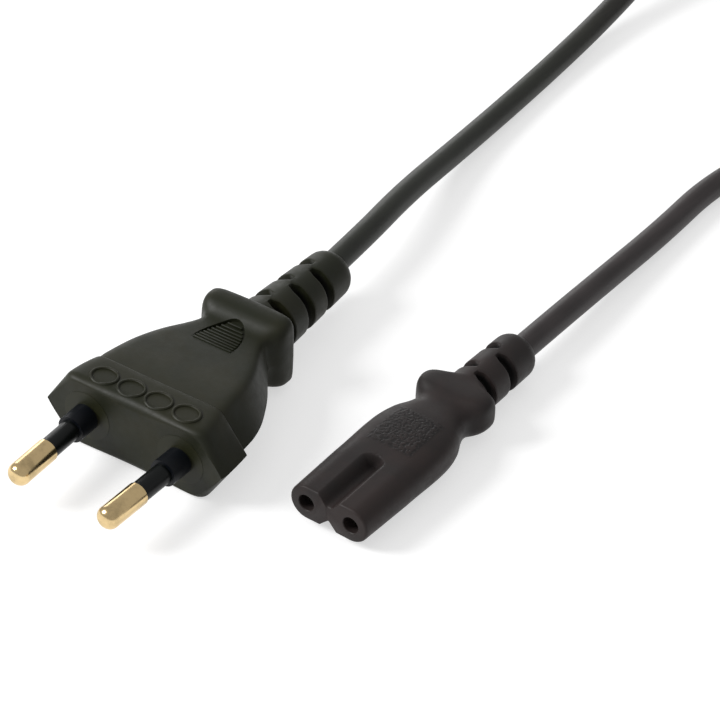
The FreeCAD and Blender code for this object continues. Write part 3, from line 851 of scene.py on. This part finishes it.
FLANGE_FORM = (13.4, 17.65, 6.85, 22.0)  # half widths above and amid, half height, crispness
FLANGE_DRAW = (1.3, 0.4)  # how much both half widths have drawn in at the rear
FLANGE_END = 7.2
FLANGE_EDGE = 1.7  # rounding of the front edge
FLANGE_CORNER = 0.2  # share of that rounding at the side corners
FLANGE_STEP = 0.35  # rounding of the rear edge
FLANGE_FOOT = 0.03  # from the rear edge to the body's first ring
FACE_BACK = 0.04  # the face lies this far behind the bridge's pads

# Rings, close together at the body's join with the relief
FLANGE_RINGS = (FLANGE_EDGE, 6.5, 0.7)
PLUG_RINGS = ((7.4, 24.0, 0.6), (24.0, 35.0, 0.3))
JOIN_RINGS = [35.05, 35.12]
JOIN_END = 35.3

# Place, half width at the top and at the middle, half height above and below the axis,
# crispness, roundness
PLUG_FORM = (
    (7.4, 12.2, 15.9, 6.48, 6.50, 20.0, 0.0),
    (9.0, 12.1, 15.9, 6.48, 6.50, 20.0, 0.0),
    (11.5, 11.7, 15.6, 6.40, 6.40, 20.0, 0.0),
    (14.6, 11.2, 14.7, 6.20, 6.10, 20.0, 0.0),
    (18.0, 10.3, 13.1, 5.95, 5.70, 18.0, 0.0),
    (21.0, 9.1, 11.4, 5.72, 5.40, 17.0, 0.0),
    (24.0, 7.5, 9.3, 5.52, 5.10, 15.0, 0.0),
    (26.2, 6.5, 7.7, 5.45, 5.00, 13.0, 0.0),
    (27.4, 6.3, 7.1, 5.62, 5.00, 11.0, 0.0),
    (28.3, 6.9, 7.3, 6.10, 5.10, 8.0, 0.0),
    (29.1, 7.8, 8.0, 6.70, 5.30, 8.0, 0.0),
    (30.1, 8.3, 8.4, 7.20, 5.50, 9.0, 0.0),
    (31.5, 8.4, 8.5, 7.45, 5.60, 10.0, 0.0),
    (33.0, 8.1, 8.2, 7.30, 5.60, 9.0, 0.0),
    (34.0, 7.0, 7.1, 6.60, 5.50, 7.0, 0.2),
    (34.7, 5.8, 5.9, 5.80, 5.45, 7.0, 0.8),
    (35.1, 5.5, 5.5, 5.48, 5.48, 6.0, 1.0),
)


def six_sided(c, s, top, middle, tall, crisp):
    """Radius of a six-sided section with softened corners, in a direction."""
    slant = math.hypot(tall, middle - top)
    side = (tall * abs(c) + (middle - top) * abs(s)) / slant
    return ((abs(s) / tall) ** crisp + (side * slant / (middle * tall)) ** crisp) ** (-1.0 / crisp)


def plug_reach(place, c, s):
    """Radius of the plug in a direction, and the slide there."""
    if place > PLUG_FORM[-1][0]:
        return relief_reach(PLUG_RELIEF, place, c)
    if place <= FLANGE_END:
        top, middle, tall, crisp = FLANGE_FORM
        drawn = (place / FLANGE_END) ** 2
        top -= FLANGE_DRAW[0] * drawn
        middle -= FLANGE_DRAW[1] * drawn
        return six_sided(c, s, top, middle, tall, crisp), 0.0
    top, middle, above, below, crisp, roundness = along(PLUG_FORM, place)
    tall = above if s > 0 else below
    body = six_sided(c, s, top, middle, tall, crisp)
    return body * (1.0 - roundness) + tall * roundness, 0.0


def plug_skin():
    """The whole moulding, without its grip and ovals."""
    front = round_edge(FLANGE_EDGE, 9)
    back = [(FLANGE_END - into, less) for into, less in reversed(round_edge(FLANGE_STEP, 3))]
    edge = dict(front + back)
    places = [place for place, _ in front[:-1]] + steps(*FLANGE_RINGS)
    places += [place for place, _ in back] + [FLANGE_END + FLANGE_FOOT] + rings(PLUG_RINGS)
    places += JOIN_RINGS + relief_stations(PLUG_RELIEF, JOIN_END)

    def reach(place, c, s):
        radius, slide = plug_reach(place, c, s)
        flatness = FLANGE_CORNER + (1.0 - FLANGE_CORNER) * ease(0.0, 0.5, abs(s))
        if place == 0.0:
            slide += FACE_BACK
        return radius - edge.get(place, 0.0) * flatness, slide

    return skin(places, fan(PLUG_FAN), reach)


# Oval rings on the flange's top
OVALS = (-7.9, -2.5, 2.9, 8.4)  # places across
OVAL_PLACE = 3.05  # place along
OVAL_SIZE = (2.3, 2.0)  # half sizes
OVAL_LINE = 0.28  # radius of the line
OVAL_SIDES = 10
OVAL_STEPS = 48

# The finger grip's arched recess
GRIP_START = 21.0
GRIP_END = 28.6
GRIP_HALF = 4.05
GRIP_DEPTH = 0.65
GRIP_LIP = 0.02  # depth in front
GRIP_DEEPENS = 0.5  # share of the length over which it deepens
GRIP_SIDES = 72
GRIP_CLEAR = 2.0  # reach of the cutter above the flange's top

# Its ribs
RIB_PROUD = 0.2  # height above the body in front
RIB_HEIGHT = 0.56  # height above the recess's floor at the bar
RIB_SHARE = 0.42  # width in pitches
RIB_TALL = 1.0  # height of the whole block
RIB_ROUND = 0.15
RIB_END_GAP = 0.2
RIB_FIRST = 0.4  # place of the first rib in pitches
RIB_ROOM = 0.5  # room left over behind the last, in pitches


def oval_ring(x):
    """An oval ring that stands a little proud of the flange's top."""
    ring = bmesh.new()
    bmesh.ops.create_circle(ring, segments=OVAL_SIDES, radius=OVAL_LINE)
    upright = Matrix.Rotation(math.pi / 2, 3, "X")
    bmesh.ops.rotate(ring, cent=(0, 0, 0), matrix=upright, verts=ring.verts)
    bmesh.ops.translate(ring, vec=(1.0, 0.0, 0.0), verts=ring.verts)
    bmesh.ops.spin(
        ring, geom=ring.verts[:] + ring.edges[:], cent=(0, 0, 0), axis=(0, 0, 1),
        angle=2 * math.pi, steps=OVAL_STEPS, use_merge=True, use_duplicate=False,
    )
    for vertex in ring.verts:
        flat = Vector((vertex.co.x, vertex.co.y))
        out = flat.normalized()
        size = Vector((out.x * OVAL_SIZE[0], out.y * OVAL_SIZE[1]))
        place = size + out * (flat.length - 1.0) + Vector((x, OVAL_PLACE))
        before = max(0.0, FLANGE_EDGE - place.y)
        drop = FLANGE_EDGE - math.sqrt(max(0.0, FLANGE_EDGE ** 2 - before ** 2))
        drop *= PLUG_AXIS / math.hypot(PLUG_AXIS, place.x)
        vertex.co = (place.x, place.y, PLUG_AXIS - drop + vertex.co.z)
    bmesh.ops.recalc_face_normals(ring, faces=ring.faces)
    return ring


def grip_half_width(place):
    """Half the width of the arched recess at a place."""
    share = (place - GRIP_START) / (GRIP_END - GRIP_START)
    return GRIP_HALF * math.sqrt(max(0.0, 1.0 - share * share))


def grip_sunk(place):
    """Share of the recess's depth that it has at a place."""
    return ease(0.0, GRIP_DEEPENS, (place - GRIP_START) / (GRIP_END - GRIP_START))


def body_top(place):
    """Height of the plug's body above its axis."""
    return along(PLUG_FORM, place)[2]


def grip_recess():
    """The arched hollow of the finger grip, flush in front and deepest against the bar."""
    cutter = bmesh.new()
    bmesh.ops.create_circle(cutter, cap_ends=True, segments=GRIP_SIDES, radius=1.0)
    bmesh.ops.bisect_plane(
        cutter, geom=cutter.verts[:] + cutter.edges[:] + cutter.faces[:], plane_co=(0, 0, 0),
        plane_no=(0, -1, 0), clear_outer=True,
    )
    bmesh.ops.scale(cutter, vec=(GRIP_HALF, GRIP_END - GRIP_START, 1.0), verts=cutter.verts)
    bmesh.ops.translate(cutter, vec=(0.0, GRIP_START, PLUG_AXIS), verts=cutter.verts)
    raised = bmesh.ops.extrude_face_region(cutter, geom=cutter.faces[:])["geom"]
    upper = {g for g in raised if isinstance(g, bmesh.types.BMVert)}
    for vertex in cutter.verts:
        if vertex in upper:
            vertex.co.z = PLUG_AXIS + GRIP_CLEAR
        else:
            depth = GRIP_LIP + (GRIP_DEPTH - GRIP_LIP) * grip_sunk(vertex.co.y)
            vertex.co.z = body_top(vertex.co.y) - depth
    bmesh.ops.recalc_face_normals(cutter, faces=cutter.faces)
    return cutter


def grip_rib(place, pitch):
    """A rib across the recess; in front it stands a little proud of the body."""
    width = 2 * (grip_half_width(place + pitch / 4) - RIB_END_GAP)
    sunk = grip_sunk(place)
    top = body_top(place) - GRIP_DEPTH * sunk + RIB_PROUD + (RIB_HEIGHT - RIB_PROUD) * sunk
    size = (width, pitch * RIB_SHARE, RIB_TALL)
    return rounded_block(size, (0.0, place, top - RIB_TALL / 2), RIB_ROUND)


class LEAD_OT_plug(bpy.types.Operator):
    """Model the moulded plug"""

    bl_idname = "lead.plug"
    bl_label = "Plug"

    def execute(self, context):
        settings = context.scene.lead_plug
        body = combined(plug_skin(), [grip_recess()])
        pitch = (GRIP_END - GRIP_START) / (settings.grip_ribs + RIB_ROOM)
        places = [GRIP_START + pitch * (i + RIB_FIRST) for i in range(settings.grip_ribs)]
        ribs = [grip_rib(place, pitch) for place in places]
        body = combined(body, [oval_ring(x) for x in OVALS] + ribs, "UNION")
        turn, front = plug_axes()

        # Painted shade in the relief's slots, near black inside them
        def slots(shade):
            return slot_painted_shade(shade, PLUG_RELIEF, front.y, PLUG_AXIS * MM, turn, front.x)

        material = moulded_pvc("moulded plug", settings.colour, slots)
        place = plug_place() @ Matrix.Translation((0.0, 0.0, PLUG_AXIS))
        finished("plug_skin", body, material, "plug_overmould", place)
        return {"FINISHED"}


# Pins and inner pieces

class LEAD_OT_metalwork(bpy.types.Operator):
    """Give the pins, sleeves, bridge and inner pieces their finishes"""

    bl_idname = "lead.metalwork"
    bl_label = "Pins and inner pieces"

    def execute(self, context):
        settings = context.scene.lead_plug
        brass = worn_metal("brass", settings.brass, roughness=0.17)
        tinned = worn_metal("tinned brass", (0.16, 0.16, 0.13), roughness=0.4)
        copper = worn_metal("copper", (0.72, 0.36, 0.22), roughness=0.3)
        sleeve = glossy_plastic(
            "sleeve plastic", (0.002, 0.003, 0.003), roughness=0.3, specular=0.25,
        )
        bridge = bridge_plastic("bridge plastic", (0.001, 0.002, 0.004), settings.colour)
        carrier = glossy_plastic("carrier plastic", (0.62, 0.60, 0.54))
        brown = glossy_plastic("brown insulation", (0.10, 0.035, 0.015))
        blue = glossy_plastic("blue insulation", (0.02, 0.08, 0.30))
        finishes = {
            "pin_left": brass, "pin_right": brass, "socket_left": tinned, "socket_right": tinned,
            "pin_sleeve_left": sleeve, "pin_sleeve_right": sleeve, "pin_bridge": bridge,
            "contact_carrier": carrier,
            "connector_core_left": blue, "connector_core_right": brown,
            "plug_core_left": blue, "plug_core_right": brown,
            "connector_wire_left": copper, "connector_wire_right": copper,
            "plug_wire_left": copper, "plug_wire_right": copper,
        }
        for node, material in finishes.items():
            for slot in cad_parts[node].material_slots:
                slot.material = material
        return {"FINISHED"}


# Cord

def coil_points():
    """Turns of the coil: inwards along the surface, then outwards on top of them.

    The spline runs inside its points, so they stand a little outside the turns.
    """
    radii = COIL_RADII + COIL_RADII[::-1]
    heights = [COIL_LOW] * len(COIL_RADII) + [COIL_HIGH] * len(COIL_RADII)
    turns = len(radii) - 1
    points = []
    for turn in range(turns + 1):
        for i in range(COIL_POINTS):
            if turn == turns and i > COIL_POINTS // 2:
                break
            share = 0.0
            if turn < turns:
                share = ease(0, COIL_SHIFT_POINTS, i - COIL_SHIFT_START)
            onward = min(turn + 1, turns)
            radius = radii[turn] + (radii[onward] - radii[turn]) * share
            height = heights[turn] + (heights[onward] - heights[turn]) * share
            radius /= math.cos(math.pi / COIL_POINTS) ** 0.5
            angle = 2 * math.pi * i / COIL_POINTS
            points.append((
                COIL_CENTRE[0] + radius * math.cos(angle),
                COIL_CENTRE[1] + radius * math.sin(angle),
                height,
            ))
    return points


class LEAD_OT_cord(bpy.types.Operator):
    """Lay the cord from the connector through its coil to the plug"""

    bl_idname = "lead.cord"
    bl_label = "Cord"

    def execute(self, context):
        settings = context.scene.lead_cord
        points = CONNECTOR_ROUTE + coil_points() + list(reversed(PLUG_ROUTE))
        curve = bpy.data.curves.new("cord", "CURVE")
        curve.dimensions = "3D"
        spline = curve.splines.new("NURBS")
        spline.points.add(len(points) - 1)
        for point, place in zip(spline.points, points):
            point.co = (*place, 1.0)
        spline.order_u = 3
        spline.use_endpoint_u = True
        spline.resolution_u = 8
        curve.bevel_depth = settings.diameter / 2
        curve.bevel_resolution = settings.roundness
        curve.use_fill_caps = True
        cord = bpy.data.objects.new("cord", curve)
        context.scene.collection.objects.link(cord)
        sheath = cord_sheath("cord sheath", settings.colour, settings.plug_end_shade_colour)
        curve.materials.append(sheath)
        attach(cord, ROOT)
        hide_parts("cord_connector_side", "cord_coil", "cord_plug_side")
        return {"FINISHED"}


# The coil's tie

TIE_WALL = 0.8
TIE_ROUND = 2.3
TIE_HOLE_ROUND = 1.6
TIE_HOLE_CLEAR = 2.0  # how much longer the hole's cutter is than the band
TIE_COLOURS = ((0.01, 0.01, 0.01), (0.035, 0.035, 0.035))  # dark and light threads


class LEAD_OT_tie(bpy.types.Operator):
    """Close the tie round the coil"""

    bl_idname = "lead.tie"
    bl_label = "Tie"

    def execute(self, context):
        low, high = (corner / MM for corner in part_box("coil_tie"))
        size = high - low
        middle = (high + low) / 2
        outer = rounded_block(size, middle, TIE_ROUND, segments=6)
        hole = (size.x + TIE_HOLE_CLEAR, size.y - 2 * TIE_WALL, size.z - 2 * TIE_WALL)
        band = combined(outer, [rounded_block(hole, middle, TIE_HOLE_ROUND, segments=5)])
        material = woven_tie("woven tie", *TIE_COLOURS)
        finished("coil_tie_band", band, material, "coil_tie")
        return {"FINISHED"}


# Stage

# Lights: place, target and size in metres, and power in watts
KEY_LIGHT = ((-0.50, -0.44, 0.48), (-0.015, 0.01, 0.0), (0.30, 0.30), 5.5)
RIM_LIGHT = ((-0.62, 0.52, 0.20), (-0.02, 0.03, 0.0), (0.50, 0.25), 1.0)
WORLD_STRENGTH = 0.5

FLOOR_HALF = 3.0
FLOOR_GLOW = 0.56  # added where the floor is seen or mirrored
FLOOR_THROW = (0.3, 0.3, 0.3, 1.0)  # its colour in the light that it throws back
WHITE = (1.0, 1.0, 1.0, 1.0)


def area_light(name, place, target, size, power):
    """A soft rectangular lamp that shines from a place towards a target."""
    light = bpy.data.lights.new(name, "AREA")
    light.shape = "RECTANGLE"
    light.size = size[0]
    light.size_y = size[1]
    light.energy = power
    lamp = bpy.data.objects.new(name, light)
    facing = (Vector(place) - Vector(target)).to_track_quat("Z", "Y")
    lamp.matrix_world = Matrix.Translation(place) @ facing.to_matrix().to_4x4()
    bpy.context.scene.collection.objects.link(lamp)


def photo_camera():
    """The camera at the photograph's place, angle and lens."""
    turn = (
        Matrix.Rotation(math.radians(CAMERA_YAW), 4, "Z")
        @ Matrix.Rotation(math.radians(90.0 - CAMERA_PITCH), 4, "X")
        @ Matrix.Rotation(math.radians(-CAMERA_ROLL), 4, "Z")
    )
    camera = bpy.data.cameras.new("camera")
    camera.sensor_width = SENSOR
    camera.lens = CAMERA_PIXELS / IMAGE_PIXELS * SENSOR
    camera.clip_start = 0.01
    camera.clip_end = 20.0
    seat = bpy.data.objects.new("camera", camera)
    seat.matrix_world = Matrix.Translation(Vector(CAMERA_PLACE) * MM) @ turn
    bpy.context.scene.collection.objects.link(seat)
    return seat


def floor_material(tone):
    """White with the object's shadow where it is seen or mirrored, grey in what it lights."""
    material, shader, shade = new_material("floor")
    soft = noise(shade, 20.0, detail=2.0)
    shade.fill(shader, {
        "Base Color": colour_mix(shade, soft, rgba((tone,) * 3), rgba((tone,) * 3, 1.02)),
        "Roughness": 0.9,
        "Specular IOR Level": 0.1,
        "Emission Color": WHITE,
        "Emission Strength": FLOOR_GLOW,
    })
    dim = shade.node("ShaderNodeBsdfDiffuse", None, {"Color": FLOOR_THROW})
    rays = shade.node("ShaderNodeLightPath", output=None)
    camera, glossy, through = (
        Shade(shade.tree, rays.outputs[f"Is {kind} Ray"])
        for kind in ("Camera", "Glossy", "Transmission")
    )
    bright = Shade(shade.tree, shader.outputs["BSDF"])
    seen = camera + glossy + through
    mixed = shade.node("ShaderNodeMixShader", None, {0: seen, 1: dim, 2: bright})
    shade.fill(shade.tree.get_output_node("ALL"), {"Surface": mixed})
    return material


class LEAD_OT_stage(bpy.types.Operator):
    """Set the floor, the lights and the camera"""

    bl_idname = "lead.stage"
    bl_label = "Stage"

    def execute(self, context):
        scene = context.scene
        scene.view_settings.view_transform = "Standard"
        scene.camera = photo_camera()

        ground = bmesh.new()
        bmesh.ops.create_grid(ground, x_segments=2, y_segments=2, size=FLOOR_HALF)
        floor = plain_object("floor", ground)
        floor.data.materials.append(floor_material(scene.lead_stage.floor_tone))

        world = bpy.data.worlds.new("studio")
        world.use_nodes = True
        background = world.node_tree.nodes["Background"]
        background.inputs["Color"].default_value = WHITE
        background.inputs["Strength"].default_value = WORLD_STRENGTH
        scene.world = world

        area_light("key", *KEY_LIGHT)
        area_light("rim", *RIM_LIGHT)
        return {"FINISHED"}


class LEAD_PT_panel(bpy.types.Panel):
    """Lists the pieces of the lead"""

    bl_idname = "LEAD_PT_panel"
    bl_label = "Mains lead"
    bl_space_type = "VIEW_3D"
    bl_region_type = "UI"
    bl_category = "Lead"

    def draw(self, context):
        layout = self.layout
        scene = context.scene
        for group in (scene.lead_connector, scene.lead_plug, scene.lead_cord, scene.lead_stage):
            box = layout.box()
            for name in group.__annotations__:
                box.prop(group, name)
        for operator in OPERATORS:
            layout.operator(operator.bl_idname)


OPERATORS = (
    LEAD_OT_stage, LEAD_OT_connector, LEAD_OT_plug, LEAD_OT_metalwork, LEAD_OT_tie, LEAD_OT_cord,
)
GROUPS = {
    "lead_cord": CordSettings, "lead_connector": ConnectorSettings, "lead_plug": PlugSettings,
    "lead_stage": StageSettings,
}


def register():
    for group in GROUPS.values():
        bpy.utils.register_class(group)
    for operator in OPERATORS:
        bpy.utils.register_class(operator)
    bpy.utils.register_class(LEAD_PT_panel)
    for name, group in GROUPS.items():
        setattr(bpy.types.Scene, name, PointerProperty(type=group))


def unregister():
    for name in GROUPS:
        delattr(bpy.types.Scene, name)
    bpy.utils.unregister_class(LEAD_PT_panel)
    for operator in reversed(OPERATORS):
        bpy.utils.unregister_class(operator)
    for group in GROUPS.values():
        bpy.utils.unregister_class(group)


def main():
    register()
    bpy.ops.lead.stage()
    bpy.ops.lead.connector()
    bpy.ops.lead.plug()
    bpy.ops.lead.metalwork()
    bpy.ops.lead.tie()
    bpy.ops.lead.cord()


if __name__ == "__main__":
    main()
